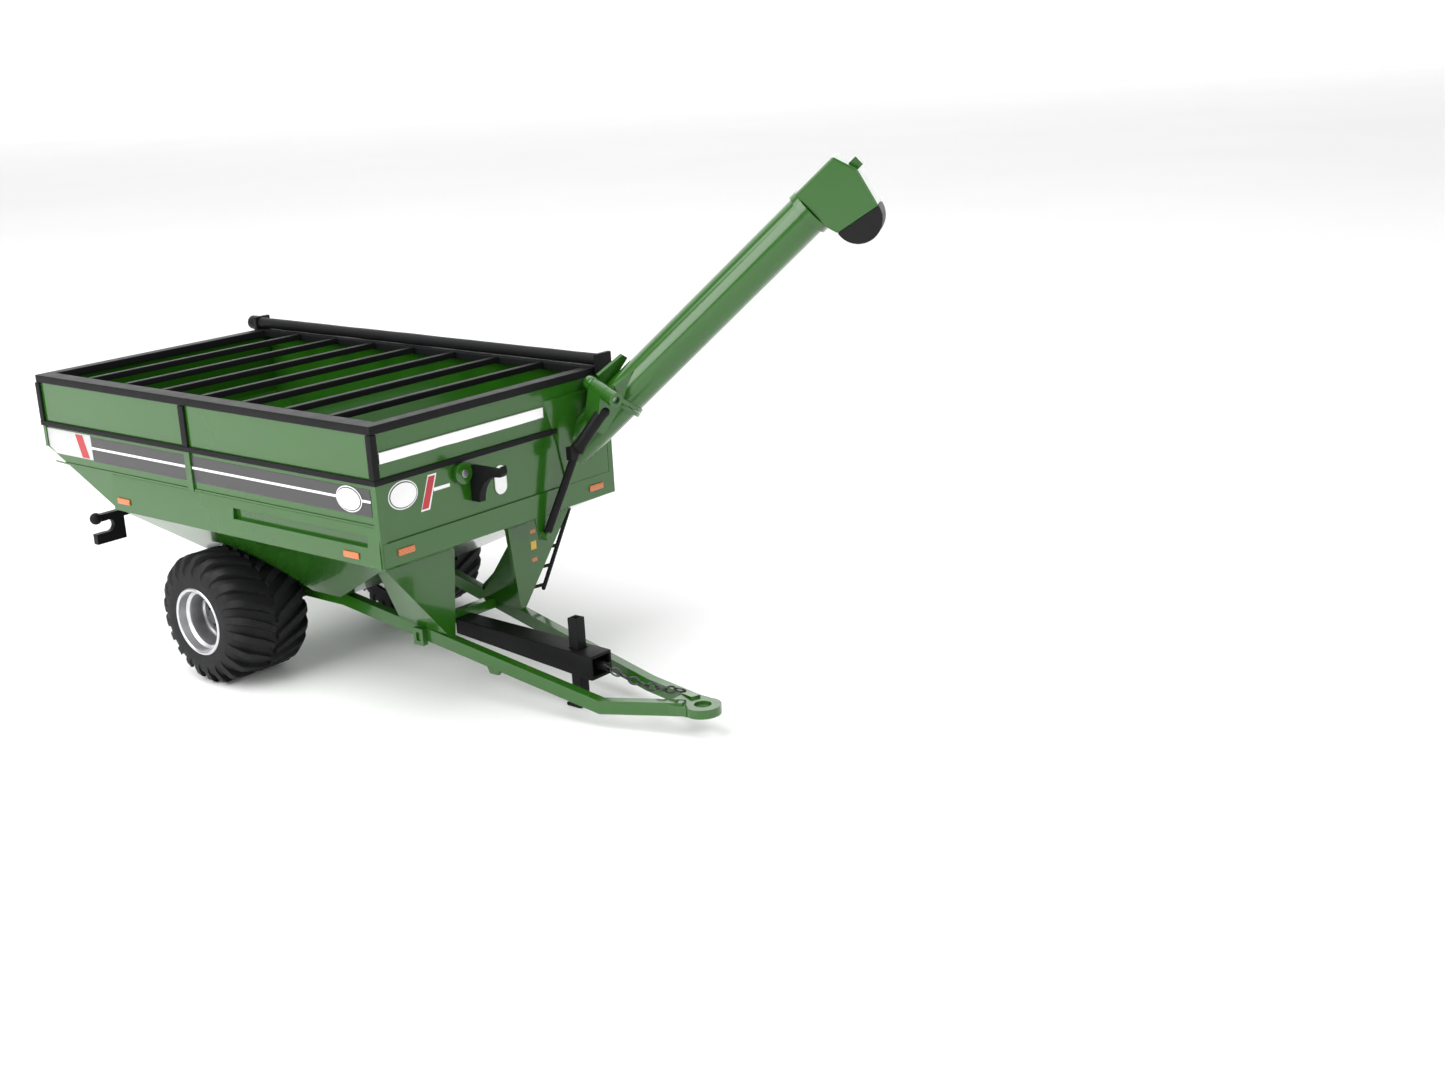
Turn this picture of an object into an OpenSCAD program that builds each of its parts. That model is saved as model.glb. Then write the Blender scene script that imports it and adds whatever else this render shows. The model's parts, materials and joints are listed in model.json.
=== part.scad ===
// Scale-model grain cart: a hopper body on two flotation tyres, with a side auger that
// folds across the front wall. X is across (the auger is on +X), Y runs to the rear,
// Z is up. Sizes below are measured from the ground and from the outside of the front wall;
// placed() then moves everything so that the hitch eye is the origin.

/* [Tub] */
// Width of the tub over its side walls
tub_w = 57; // [50:0.5:70]
// Length of the tub from front wall to rear wall
tub_l = 100; // [84:1:124]
// Height of the rim above the ground
rim_z = 55; // [48:0.5:66]
// Height of the side walls, rim to sill
side_h = 24.6; // [20:0.2:28]
// Height of the rear wall, rim to the start of the rear slope
rear_h = 14.4; // [11:0.2:18]
// Thickness of the sheet walls
wall = 1; // [0.7:0.1:1.4]
// Half width of the flat hopper bottom
sump_half = 14.2; // [10:0.2:18]
// Distance from the front wall to the hopper bottom
sump_y = 31; // [26:0.5:36]
// Length of the hopper bottom
sump_l = 16.5; // [10:0.5:20]

/* [Rim, bows and tarp] */
// Height of the black rim cap
rim_h = 1.5; // [1:0.1:2.2]
// Width of the rim cap along the sides
rim_side_w = 3; // [2:0.1:4]
// Width of the rim cap along the front and rear
rim_end_w = 2.2; // [1.6:0.1:3]
// How far the rim cap stands proud of the walls
rim_proud = 0.3; // [0.1:0.05:0.5]
// Width of one tarp bow
bow_w = 1.3; // [0.8:0.1:2]
// Height of one tarp bow
bow_h = 1.2; // [0.8:0.1:1.5]
// Radius of the rolled tarp
roll_r = 1.3; // [0.9:0.1:1.8]

/* [Trim] */
// Drop from the rim to the top of the black belt rib
belt_drop = 9.2; // [7:0.1:11]
// Height of the belt rib
belt_h = 1; // [0.6:0.1:1.4]
// How far ribs and posts stand proud of the walls
rib_proud = 0.5; // [0.3:0.05:0.8]
// Width of the corner posts on each face
post_w = 0.9; // [0.7:0.1:1.8]
// Height of the sill band along the foot of the walls
sill_h = 3.4; // [2.4:0.1:4]

/* [Wheels] */
// Outer radius of a tyre over its lugs
tyre_r = 12.6; // [10.6:0.1:15]
// Width of a tyre
tyre_w = 17.7; // [14.8:0.1:19]
// Radius of the wheel rim where the tyre sits
bead_r = 6.6; // [5.4:0.1:7.6]
// How far a tyre stands outside the tub wall
track_out = 3; // [2:0.1:4]
// Distance from the front wall to the axle
axle_y = 52.2; // [46:0.2:60]
// Radius of the axle
axle_r = 1; // [0.7:0.05:1.4]
// Radial clearance of every part that turns on a pin or axle
run_gap = 0.05; // [0.03:0.01:0.09]
// Gap between a tyre and the wheel arch round it
arch_gap = 1; // [0.6:0.1:1.6]

/* [Auger] */
// Outer radius of the auger tube
tube_r = 3.9; // [3.2:0.1:4.4]
// Wall of the auger tube
tube_wall = 0.7; // [0.5:0.05:1]
// Length of the folding tube, flange to hood
tube_l = 50.5; // [40:0.5:56]
// Rise of the unfolded tube in the hinge's own frame
tube_rise = 55.36; // [50:0.05:60]
// Angle that the hinge axis is turned in from straight ahead
hinge_toe = 17; // [12:0.5:22]
// Angle that the hinge axis dips towards the front
hinge_dip = 12; // [8:0.5:16]
// Skew of the tube against the hinge axis
tube_skew = 21.2; // [16:0.2:24]
// Distance from the hinge axis to the tube's axis
hinge_arm = 5.3; // [4.8:0.1:6.2]
// Radius of the hinge barrel
barrel_r = 1.45; // [1.2:0.05:1.8]
// Radius of the hinge pin
hinge_pin_r = 0.65; // [0.45:0.05:0.8]
// Length of the fixed hinge barrel
barrel_l = 4.6; // [4:0.1:5.4]
// Length of the front moving knuckle
knuckle_l = 2.8; // [2.2:0.1:3.4]
// Thickness of one flange
flange_t = 0.8; // [0.6:0.05:1.1]
// How far the flanges stand out from the tube
flange_lip = 0.7; // [0.5:0.05:1.1]
// Width of the discharge hood
hood_w = 7; // [6:0.1:8.4]

/* [Frame and hitch] */
// Height of the frame rails
rail_h = 2.4; // [1.8:0.1:3]
// Width of the frame rails
rail_w = 1.8; // [1.4:0.1:2.2]
// Half height of the axle beam
beam_half = 1.1; // [1.05:0.05:1.5]
// Distance from the front wall forward to the hitch eye
hitch_reach = 44.5; // [38:0.5:52]
// Height of the hitch eye's middle above the ground
hitch_z = 5; // [4:0.1:7]
// Radius of the hitch eye's hole
eye_r = 1.5; // [1:0.05:1.8]
// Thickness of the hitch plate
hitch_t = 1.6; // [1.2:0.1:2.2]
// Side of the square jack post
jack_w = 2.2; // [1.8:0.1:2.8]
// Gap round the jack post in the tongue box
jack_gap = 0.15; // [0.1:0.01:0.25]

/* [Hidden] */
$fn = 64;

green = [0.1, 0.32, 0.09];
black = [0.07, 0.07, 0.075];
silver = [0.78, 0.78, 0.78];
dark_grey = [0.2, 0.2, 0.21];
orange = [0.8, 0.42, 0.2];

// Levels and planes that the pieces share
far = 300;
half_w = tub_w / 2;
wall_top = rim_z - rim_h;
sill_z = rim_z - side_h;
rear_z = rim_z - rear_h;
belt_top = rim_z - belt_drop;
belt_z = belt_top - belt_h;
axle_z = tyre_r;
wheel_out = half_w + track_out;
wheel_in = wheel_out - tyre_w;
rail_back_x = wheel_in - 2.5;
rail_back_z = axle_z + beam_half + rail_h / 2;
sump_z = rail_back_z + rail_h / 2;
sump_end = sump_y + sump_l;
front_fall = atan2(sill_z - sump_z, sump_y);
rear_fall = atan2(rear_z - sump_z, tub_l - sump_end);
side_fall = atan2(sill_z - sump_z, half_w - sump_half);

// Frame rails: straight under the hopper, then converging and falling to the hitch
kink_y = 33;
rail_taper = 0.0822;
rail_drop = 0.1824;
front_kink_y = -27;
function rail_x(y) = rail_back_x - rail_taper * (kink_y - y);
function rail_z(y) = rail_back_z - rail_drop * (kink_y - y);
function rail_top(y) = rail_z(y) + rail_h / 2;

// Hinge of the auger, and the place of its flanges
hinge_pos = [half_w - 7.3, -6, rim_z - 3];
tube_side = 0.7;
flange_gap = 0.1;
knuckle_gap = 0.12;
fold_clear = 0.25;
housing_proud = 0.4;
front_knuckle_y = -barrel_l / 2 - knuckle_gap - knuckle_l;
rear_knuckle_l = 1.9;

// Hitch and tongue
hitch_y = -hitch_reach;
hitch_half_w = 3.2;
cross_y = 14.5;
cross_w = 2;
box_front_y = -21.5;
jack_y = -16;
jack_top = 16.3;
jack_foot_t = 0.7;
bracket_x = -6.7;
rest_z = rim_z - 11.4;
leg_y = 7;
strut_low = [8.9, -1.25, sill_z - 3.6];
strut_pin_r = 0.85;
strut_mid = [15.3, -4.2, rim_z - 13.2];
strut_top = [half_w - 8.1, -6.6, rim_z - 6.7];

// Moves a piece from the front-wall datum to the hitch eye
module placed() {
  translate([0, -hitch_y, -hitch_z]) children();
}

// An outline given as (Y, Z) points, drawn out to both sides of X = 0
module from_side(width) {
  rotate([90, 0, 90]) linear_extrude(width, center = true) children();
}

// An outline given as (X, Z) points, drawn forward from the plane Y = y
module from_front(y, depth) {
  translate([0, y, 0]) rotate([90, 0, 0]) linear_extrude(depth) children();
}

// Both a shape and its mirror image
module both_sides() {
  children();
  mirror([1, 0, 0]) children();
}

// A rectangular bar from p to q, run on by extra at each end
module bar(p, q, width, height, extra = 0) {
  d = q - p;
  rise = atan2(d.z, norm([d.x, d.y]));
  yaw = -atan2(d.x, d.y);
  translate(p) rotate([rise, 0, yaw])
    translate([-width / 2, -extra, -height / 2]) cube([width, norm(d) + 2 * extra, height]);
}

// A round rod from p to q
module rod(p, q, r) {
  d = q - p;
  translate(p) rotate([0, acos(d.z / norm(d)), atan2(d.y, d.x)]) cylinder(h = norm(d), r = r);
}

// A thin triangular plate between three corners
module gusset(a, b, c, t) {
  hull() {
    translate(a) cube(t, center = true);
    translate(b) cube(t, center = true);
    translate(c) cube(t, center = true);
  }
}

// ---- Tub and hopper --------------------------------------------------------------

// Side outline of the tub, brought in by inset on every face but the open top
module tub_side_outline(inset, top) {
  polygon([
    [inset, top],
    [inset, sill_z + inset * (1 - sin(front_fall)) / cos(front_fall)],
    [sump_y + inset * tan(front_fall / 2), sump_z + inset],
    [sump_end - inset * tan(rear_fall / 2), sump_z + inset],
    [tub_l - inset, rear_z + inset * (1 - sin(rear_fall)) / cos(rear_fall)],
    [tub_l - inset, top]]);
}

// Front outline of the tub, brought in by inset in the same way
module tub_front_outline(inset, top) {
  corner_z = sill_z + inset * (1 - sin(side_fall)) / cos(side_fall);
  floor_x = sump_half - inset * tan(side_fall / 2);
  polygon([
    [half_w - inset, top], [half_w - inset, corner_z], [floor_x, sump_z + inset],
    [-floor_x, sump_z + inset], [-half_w + inset, corner_z], [-half_w + inset, top]]);
}

// The room for one pair of wheels under the slopes
module wheel_arches(r, inner_x) {
  both_sides() translate([inner_x, axle_y, axle_z]) rotate([0, 90, 0]) cylinder(h = far, r = r);
}

// Solid body of the tub and hopper, brought in by inset
module tub_solid(inset, top) {
  difference() {
    intersection() {
      from_side(far) tub_side_outline(inset, top);
      from_front(tub_l + 1, tub_l + 2) tub_front_outline(inset, top);
    }
    wheel_arches(tyre_r + arch_gap + inset, wheel_in - 0.6 - inset);
  }
}

// The open sheet shell of the tub and hopper together
module shell() {
  difference() {
    tub_solid(0, wall_top);
    tub_solid(wall, wall_top + 1);
  }
}

// A ring of constant section round the outside of the tub between two heights
module wall_ring(z0, z1, proud) {
  difference() {
    translate([-half_w - proud, -proud, z0])
      cube([tub_w + 2 * proud, tub_l + 2 * proud, z1 - z0]);
    translate([-half_w, 0, z0 - 1]) cube([tub_w, tub_l, z1 - z0 + 2]);
  }
}

// Angles on the corners of the tub between two heights
module corner_angles(z0, z1, proud, ys) {
  intersection() {
    wall_ring(z0, z1, proud);
    for (x = [-half_w, half_w], y = ys)
      translate([x - post_w, y - post_w, z0]) cube([2 * post_w, 2 * post_w, z1 - z0]);
  }
}

// Raised sill along the foot of both side walls and of the front wall
module sill_bands() {
  sill_proud = 0.55;
  sill_back = tub_l - (rear_z - sill_z) / tan(rear_fall);
  both_sides() translate([half_w - 0.1, 0, 0]) from_front(sill_back, sill_back)
    polygon([[0, sill_z], [sill_proud + 0.1, sill_z], [sill_proud + 0.1, sill_z + sill_h],
             [0.25, sill_z + sill_h + 3.6], [0, sill_z + sill_h + 3.6]]);
  translate([-half_w, -0.4, sill_z]) cube([tub_w, 0.5, 4.2]);
  both_sides() translate([half_w - 0.1, 0, sill_z + 7.1]) cube([0.35, tub_l - 2, 0.35]);
}

// Long pocket under the ridge near the front of each side
module side_pockets() {
  pocket_back = 40;
  both_sides() translate([half_w - 0.35, 3, sill_z + sill_h]) cube([2, pocket_back - 3, 2]);
}

module tub() color(green) {
  post_y = tub_l * 0.514;
  difference() {
    union() {
      intersection() {
        shell();
        translate([-far / 2, -1, sill_z]) cube([far, tub_l + 2, far]);
      }
      sill_bands();
      corner_angles(sill_z, belt_z, 0.35, [0]);
      corner_angles(rear_z, belt_z, 0.35, [tub_l]);
      both_sides() translate([half_w - 0.1, post_y, sill_z + 7.1])
        cube([rib_proud, 1.7, belt_z - sill_z - 7.1]);
    }
    side_pockets();
  }
}

module hopper() color(green) {
  intersection() {
    shell();
    translate([-far / 2, -1, 0]) cube([far, tub_l + 2, sill_z]);
  }
}

// ---- Rim, bows and tarp ----------------------------------------------------------

module rim_cap() color(black) {
  difference() {
    translate([-half_w - rim_proud, -rim_proud, wall_top])
      cube([tub_w + 2 * rim_proud, tub_l + 2 * rim_proud, rim_h]);
    translate([-half_w + rim_side_w, rim_end_w, wall_top - 1])
      cube([tub_w - 2 * rim_side_w, tub_l - 2 * rim_end_w, rim_h + 2]);
  }
}

// Bow number i of seven, let in level with the rim
module bow(i) {
  first = tub_l * 0.136;
  pitch = tub_l * 0.121;
  span = tub_w - 2 * rim_side_w;
  color(black) translate([-span / 2, first + (i - 1) * pitch - bow_w / 2, rim_z - bow_h])
    cube([span, bow_w, bow_h]);
}

roll_x = half_w - 1.6;
roll_z = rim_z + roll_r;

module tarp_roll() color(black) {
  translate([roll_x, -rib_proud, roll_z]) rotate([-90, 0, 0])
    cylinder(h = tub_l + 2 * rib_proud, r = roll_r);
}

module tarp_end_caps() color(black) {
  for (y = [-1 - rib_proud, tub_l + rib_proud])
    translate([roll_x - roll_r - 0.3, y, rim_z - 2]) cube([2 * roll_r + 1.3, 1, 2 + 2 * roll_r]);
}

module tarp_knob() color(black) {
  translate([roll_x, tub_l + rib_proud + 1, roll_z - 0.2]) rotate([-90, 0, 0]) {
    cylinder(h = 2.2, r = 1.5);
    cylinder(h = 2.8, r = 0.6);
  }
}

// ---- Trim on the walls -----------------------------------------------------------

module belt_rib() color(black) {
  difference() {
    wall_ring(belt_z, belt_top, rib_proud);
    translate([half_w - 14, -5, belt_z - 1]) cube([14, 5, belt_h + 2]);
    auger_housing();
  }
}

module corner_posts() color(black) {
  difference() {
    corner_angles(belt_top, wall_top, rib_proud, [0, tub_l]);
    translate([half_w - post_w - 0.2, -5, belt_z]) cube([post_w + 0.2, 5, side_h]);
  }
}

module side_posts() color(black) {
  both_sides() translate([half_w, tub_l * 0.514, belt_top])
    cube([rib_proud, 1.7, wall_top - belt_top]);
}

module reflective_strip() color(silver) {
  strip_h = 2.1;
  translate([-half_w + post_w + 0.2, -0.4, rim_z - 6.7])
    cube([tub_w - post_w - 17.2, 0.4, strip_h]);
}

// Upright window with round ends in the front wall
module sight_window() color(silver) {
  window_r = 1.45;
  window_h = 2.4;
  translate([-0.3, 0, 0]) from_front(0, 0.3) {
    translate([0, rim_z - 16.75]) circle(window_r);
    translate([0, rim_z - 16.75 + window_h]) circle(window_r);
    translate([-window_r, rim_z - 16.75]) square([2 * window_r, window_h]);
  }
}

// Shelf bracket that the folded auger rests on, with a hollow curve under its arm
module rest_bracket() color(black) {
  reach = 8.2;
  root = 2.1;
  leg_h = 6.4;
  tip = 1.3;
  curve_r = reach - root - 1;
  curve_z = rest_z - tip - curve_r;
  translate([bracket_x, 0, 0]) from_side(1.6)
    polygon(concat(
      [[0, rest_z], [-reach + 1, rest_z], [-reach + 0.2, rest_z + 0.8], [-reach, rest_z - 0.6],
       [-reach + 0.6, rest_z - tip]],
      [for (a = [90:-10:0]) [-root - curve_r * (1 - cos(a)), curve_z + curve_r * sin(a)]],
      [[-root, rest_z - leg_h], [0, rest_z - leg_h]]));
}

boss_x = -9.5;
boss_z = rim_z - 12.2;

module bracket_boss() color(green) {
  difference() {
    translate([boss_x, 0, boss_z]) rotate([90, 0, 0]) cylinder(h = 1.1, r = 1.95);
    translate([boss_x, 1, boss_z]) rotate([90, 0, 0]) cylinder(h = 4, r = 0.55);
  }
}

module bracket_rivet() color(silver) {
  translate([boss_x, 0, boss_z]) rotate([90, 0, 0]) cylinder(h = 1.1, r = 0.55);
  translate([boss_x, -1.1, boss_z]) rotate([90, 0, 0]) cylinder(h = 0.3, r = 0.75);
}

module reflectors() color(orange) {
  both_sides() {
    translate([half_w - 6.7, -0.7, rim_z - 23.1]) cube([3.7, 0.3, 1.2]);
    translate([half_w + 0.55, 5.4, rim_z - 23.6]) cube([0.3, 4, 1.2]);
    translate([half_w + 0.55, 72.5, rim_z - 23.1]) cube([0.3, 4, 1.2]);
  }
}

// ---- Auger -----------------------------------------------------------------------

// Frame of the hinge: Y along the hinge axis, X out of the flange face, Z towards the hinge
module fold_frame() {
  translate(hinge_pos) rotate([hinge_dip, 0, -hinge_toe]) rotate([0, -tube_rise, 0]) children();
}

// Frame of the tube: X along the tube from the flange's middle
module tube_frame() {
  fold_frame() translate([0, tube_side, -hinge_arm]) rotate([0, 0, -tube_skew]) children();
}

// A round bar along the hinge axis from y0
module hinge_round(y0, length, r) {
  translate([0, y0 + length, 0]) rotate([90, 0, 0]) cylinder(h = length, r = r);
}

// A length of auger tube of radius r between two stations
module tube_round(x0, x1, r) {
  translate([x0, 0, 0]) rotate([0, 90, 0]) cylinder(h = x1 - x0, r = r);
}

// Raised seat on the front wall that the auger comes out of
module auger_housing() color(green) {
  left = half_w - 16.9;
  right = half_w - post_w - 0.1;
  intersection() {
    from_front(0, housing_proud)
      polygon([[left, wall_top - 2.2], [right, wall_top - 2.2], [right, sill_z + 4.2],
               [left + 4.6, sill_z + 4.2], [left + 3, belt_z - 2.5]]);
    linear_extrude(far)
      polygon([[left, 0], [left + 3.4, -housing_proud], [right, -housing_proud], [right, 0]]);
  }
}

module lower_auger_tube() color(green) {
  stub_l = 20;
  difference() {
    union() {
      intersection() {
        tube_frame() tube_round(-stub_l, 1, tube_r);
        fold_frame() translate([-stub_l - 5, -20, -20]) cube([stub_l + 5, 40, 40]);
      }
      fold_frame() {
        translate([-flange_t, tube_side, -hinge_arm]) rotate([0, 90, 0])
          cylinder(h = flange_t, r = tube_r + flange_lip);
        difference() {
          translate([0, barrel_l / 2, 0]) rotate([90, 0, 0]) linear_extrude(barrel_l)
            polygon([[0, -2.2], [0, 0], [-0.6, 1.3], [-1.6, 0.9], [-6.8, -2], [-6.8, -4], [0, -4]]);
          hinge_round(-barrel_l, 2 * barrel_l, hinge_pin_r);
        }
        hinge_round(-barrel_l / 2, barrel_l, barrel_r);
      }
    }
    tube_frame() tube_round(-stub_l, 2, tube_r - tube_wall);
    fold_frame() {
      hinge_round(-far / 2, far, hinge_pin_r);
      hinge_round(-10, 10 - barrel_l / 2, barrel_r + fold_clear);
      hinge_round(barrel_l / 2, 10, barrel_r + fold_clear);
    }
    translate([-far / 2, -housing_proud, 0]) cube([far, far, far]);
  }
}

module hinge_pin() color(silver) {
  sink = 0.8;
  fold_frame() hinge_round(front_knuckle_y + sink,
                           knuckle_l + barrel_l + rear_knuckle_l + 2 * knuckle_gap - 2 * sink,
                           hinge_pin_r);
}

// One moving knuckle with the web that ties it to the flange
module moving_knuckle(y0, length) {
  hinge_round(y0, length, barrel_r);
  translate([flange_gap, y0, -3]) cube([flange_t, length, 3]);
}

module upper_auger_tube() color(green) {
  fin_x = 1.9;
  difference() {
    union() {
      intersection() {
        tube_frame() tube_round(-1, tube_l, tube_r);
        fold_frame() translate([flange_gap, -far / 2, -20]) cube([far, far, far]);
      }
      tube_frame() tube_round(tube_l - 1.4, tube_l, tube_r + 0.45);
      fold_frame() {
        translate([flange_gap, tube_side, -hinge_arm]) rotate([0, 90, 0])
          cylinder(h = flange_t, r = tube_r + flange_lip);
        moving_knuckle(front_knuckle_y, knuckle_l);
        moving_knuckle(barrel_l / 2 + knuckle_gap, rear_knuckle_l);
        for (y = [-2.6, 3.2])
          translate([0, y + 0.4, 0]) rotate([90, 0, 0]) linear_extrude(0.8)
            polygon([[fin_x, 0.3], [7.5, -hinge_arm + tube_r - 0.6], [7.5, -hinge_arm + 2],
                     [fin_x - 1.2, -hinge_arm + 2], [fin_x - 1.2, -1.9]]);
      }
    }
    fold_frame() {
      hinge_round(-far / 2, far, hinge_pin_r + run_gap);
      hinge_round(-barrel_l / 2 - knuckle_gap, barrel_l + 2 * knuckle_gap, barrel_r + fold_clear);
    }
    tube_frame() tube_round(-4, far, tube_r - tube_wall);
  }
}

// Frame of the hood: X along the tube from its end, Z square to it and away from the outlet
hood_roll = -40.2;
module hood_frame() {
  tube_frame() translate([tube_l, 0, 0]) rotate([hood_roll, 0, 0]) children();
}

// The hood's side corners, clockwise from the top at the tube
outlet_back = [0.7, -6.1];
outlet_front = [9.2, -7.6];
hood_end = [10.9, -0.6];

module hood_outline() {
  polygon([[0, tube_r + 0.05], [9.3, tube_r + 0.05], hood_end, outlet_front, outlet_back,
           [0, -tube_r]]);
}

module discharge_hood() color(green) {
  skin = 0.7;
  hood_frame() difference() {
    rotate([90, 0, 0]) linear_extrude(hood_w, center = true) hood_outline();
    rotate([90, 0, 0]) linear_extrude(hood_w - 2 * skin, center = true)
      polygon([[-1, tube_r - skin], [9.3 - 0.6 * skin, tube_r - skin],
               [hood_end.x - 1.1 * skin, hood_end.y], [outlet_front.x - skin, -9],
               [outlet_back.x + skin, -9], [outlet_back.x + skin, -5], [skin, -tube_r + skin],
               [-1, -tube_r + skin]]);
  }
}

module hood_lug() color(green) {
  hood_frame() difference() {
    translate([9.5, -1.2, -0.7]) cube([2.4, 2.4, 1.9]);
    rotate([90, 0, 0]) linear_extrude(hood_w + 2, center = true) hood_outline();
  }
}

module spout() color(black) {
  run = outlet_front - outlet_back;
  r = norm(run) / 2;
  skin = 0.7;
  width = hood_w - 0.5;
  hood_frame() translate([outlet_back.x, 0, outlet_back.y]) rotate([0, -atan2(run.y, run.x), 0])
    translate([r, 0, 0]) difference() {
      rotate([90, 0, 0]) cylinder(h = width, r = r, center = true);
      rotate([90, 0, 0]) cylinder(h = width - 2 * skin, r = r - skin, center = true);
      translate([-2 * r, -width, 0]) cube([4 * r, 2 * width, 2 * r]);
      translate([-r * 0.55, -width / 2 + skin, -2 * r])
        cube([r * 1.1, width - 2 * skin, 2 * r]);
    }
}

// ---- Fold strut ------------------------------------------------------------------

module strut_foot() color(green) {
  lug_t = 0.45;
  rotate([90, 0, 0]) linear_extrude(lug_t) hull() {
    translate([strut_low.x - 1.7, sill_z - 0.2]) square([3.4, 0.2]);
    translate([strut_low.x, strut_low.z]) circle(strut_pin_r + 0.2);
  }
  translate([strut_low.x, 0, strut_low.z]) rotate([90, 0, 0])
    cylinder(h = 2.1, r = strut_pin_r);
}

module strut_rod() color(black) {
  difference() {
    rod(strut_low, strut_mid, 0.75);
    strut_foot();
  }
}

module strut_barrel() color(black) {
  collar = strut_mid + (strut_top - strut_mid) * 0.12;
  difference() {
    union() {
      rod(strut_mid, collar, 1.35);
      rod(collar, strut_top, 1.15);
      translate(strut_top) sphere(1.3);
      translate(strut_mid) translate([-2.1, -0.6, -1.4]) cube([1.7, 1.2, 2.4]);
    }
    strut_rod();
    lower_auger_tube();
    tube_frame() tube_round(-20, 1, tube_r);
    fold_frame() hinge_round(-8, 16, barrel_r + fold_clear);
    fold_frame() translate([-flange_t, tube_side, -hinge_arm]) rotate([0, 90, 0])
      cylinder(h = 4, r = tube_r + flange_lip);
    translate([-far / 2, -housing_proud, 0]) cube([far, far, far]);
  }
}

// ---- Front legs and ladder -------------------------------------------------------

leg_a = [half_w - 4, leg_y, sill_z];
leg_i = [6.9, leg_y, sill_z];
leg_b = [rail_x(leg_y) - 0.3, leg_y, rail_top(leg_y)];
leg_c = [rail_x(18) + 0.3, 18, rail_top(18)];
leg_t = 0.9;

// One folded leg: a front plate, a raked side plate and a short inner plate
module leg_plates() {
  gusset(leg_a, leg_i, leg_b, leg_t);
  gusset(leg_a, leg_b, leg_c, leg_t);
  gusset([leg_i.x + 1, leg_y, sill_z - 6.5], leg_b,
         [leg_b.x, leg_y + 9, rail_top(leg_y + 9)], leg_t);
}

module leg_left() color(green) {
  difference() {
    leg_plates();
    tub_solid(0, wall_top);
    translate([-far / 2, -5, sill_z]) cube([far, tub_l, far]);
    rail(1);
  }
}

module leg_right() color(green) {
  mirror([1, 0, 0]) leg_left();
}

module ladder() color(black) {
  rail_r = 0.4;
  top = [half_w - 3.3, leg_y, sill_z - 0.3];
  foot = [leg_b.x + 6.2, leg_y, rail_top(leg_y) + 2.3];
  rungs = 4;
  difference() {
    union() {
      rod(top, foot, rail_r);
      translate(foot) sphere(rail_r);
      for (i = [1:rungs]) {
        p = top + (foot - top) * (0.14 + 0.205 * i);
        rod(p, p + [-6.6, 0, 0.5], rail_r * 0.8);
      }
    }
    hull() leg_plates_front();
    leg_left();
    tub_solid(0, wall_top);
  }
}

// The wedge behind the left leg's front and side plates
module leg_plates_front() {
  gusset(leg_a, leg_i, leg_b, leg_t);
  gusset(leg_a, leg_b, leg_c, leg_t);
}

// ---- Running gear ----------------------------------------------------------------

// One frame rail on the side given by s, 1 for left and -1 for right
module rail(s) {
  back = [s * rail_x(kink_y), axle_y + 4, rail_back_z];
  kink = [s * rail_x(kink_y), kink_y, rail_back_z];
  low = [s * rail_x(front_kink_y), front_kink_y, rail_z(front_kink_y)];
  nose = [s * 1.6, hitch_y + 3, hitch_z];
  difference() {
    union() {
      bar(kink, back, rail_w, rail_h, 0.1);
      bar(low, kink, rail_w, rail_h, 0.1);
      bar(nose, low, rail_w, rail_h, 0.3);
    }
    hitch_room();
    tub_solid(0, wall_top);
  }
}

// Space that the hitch plate takes between the rails
module hitch_room() {
  translate([-hitch_half_w, hitch_y - 6, hitch_z - hitch_t / 2])
    cube([2 * hitch_half_w, 12, hitch_t]);
  translate([-far / 2, hitch_y - far, 0]) cube([far, far + 2.4, far]);
}

module frame_rail_left() color(green) rail(1);
module frame_rail_right() color(green) rail(-1);

module cross_member() color(green) {
  difference() {
    translate([-rail_x(cross_y), cross_y - cross_w / 2, rail_z(cross_y) - cross_w / 2])
      cube([2 * rail_x(cross_y), cross_w, cross_w]);
    rail(1);
    rail(-1);
    leg_left();
    leg_right();
  }
}

module hitch_plate() color(green) {
  difference() {
    union() {
      translate([-hitch_half_w, hitch_y + 1, hitch_z - hitch_t / 2])
        cube([2 * hitch_half_w, 5, hitch_t]);
      translate([0, hitch_y, hitch_z - hitch_t / 2]) cylinder(h = hitch_t, r = hitch_half_w);
    }
    translate([0, hitch_y, hitch_z - 5]) cylinder(h = 10, r = eye_r);
  }
}

module rail_clamps() color(green) {
  clamp_y = 13.2;
  clamp_w = 1.1;
  face_x = rail_x(clamp_y) + rail_w / 2 - 0.1;
  for (s = [-1, 1]) difference() {
    translate([s * (face_x + clamp_w / 2), clamp_y, rail_z(clamp_y) - 0.5])
      cube([clamp_w, 2.6, rail_h + 0.8], center = true);
    rail(s);
    translate([s * (face_x + clamp_w), clamp_y, rail_z(clamp_y) - 0.5])
      cube([0.8, 1, 1.6], center = true);
    if (s > 0) leg_left();
    else leg_right();
  }
}

module rail_tabs() color(green) {
  tab_y = -3;
  tab_h = 1.4;
  for (s = [-1, 1]) difference() {
    translate([s * rail_x(tab_y), 0, 0]) from_side(0.9)
      polygon([[tab_y - 2.2, rail_z(tab_y)], [tab_y + 2.2, rail_z(tab_y)],
               [tab_y + 1, rail_z(tab_y) - rail_h / 2 - tab_h],
               [tab_y - 1.2, rail_z(tab_y) - rail_h / 2 - tab_h]]);
    rail(s);
  }
}

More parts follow.
